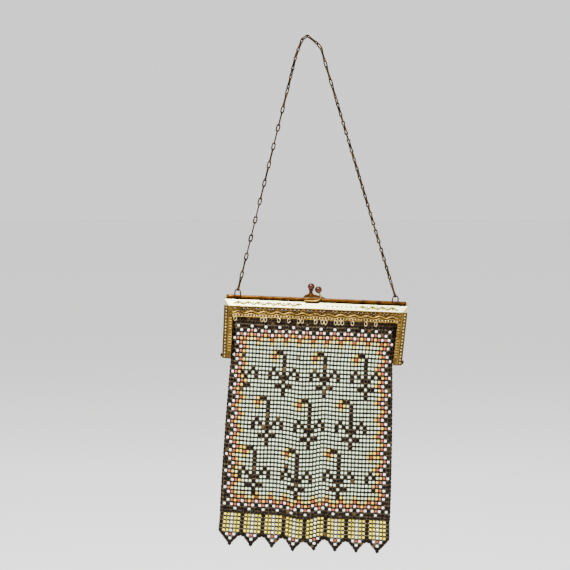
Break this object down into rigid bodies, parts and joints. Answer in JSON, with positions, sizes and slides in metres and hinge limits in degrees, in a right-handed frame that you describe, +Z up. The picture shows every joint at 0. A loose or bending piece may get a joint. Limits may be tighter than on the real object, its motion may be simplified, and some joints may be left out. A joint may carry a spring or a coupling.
{
  "type": "metal mesh purse",
  "caption": "Flat metal mesh evening purse on a pierced two-leaf brass frame with a ball clasp, a wire-link chain handle and a pointed mesh fringe, hanging by its chain.",
  "frame": {"origin": "the point on which the top of the hanging chain bears", "axes": "+Z up, +X to the right seen from the front, the front face towards -Y; the purse hangs down from the origin"},
  "size_m": [0.1552, 0.0146, 0.4242],
  "materials": {
    "frame": "worn gilt, bright on its ridges and dark in its hollows",
    "hinge": "dull copper brown",
    "clasp": "polished copper brown",
    "chain": "tarnished gilt wire",
    "mesh": "glossy enamel on small domed plates"
  },
  "bodies": {
    "root": {"frame_leaf_front": "frame", "frame_leaf_rear": "frame", "hinge_pin_left": "hinge", "hinge_pin_right": "hinge", "clasp_knob_front": "clasp", "clasp_knob_rear": "clasp", "chain_ring_left": "chain", "chain_ring_right": "chain", "handle_chain": "chain", "mesh_bag": "mesh", "mesh_fringe": "mesh"}
  },
  "joints": []
}
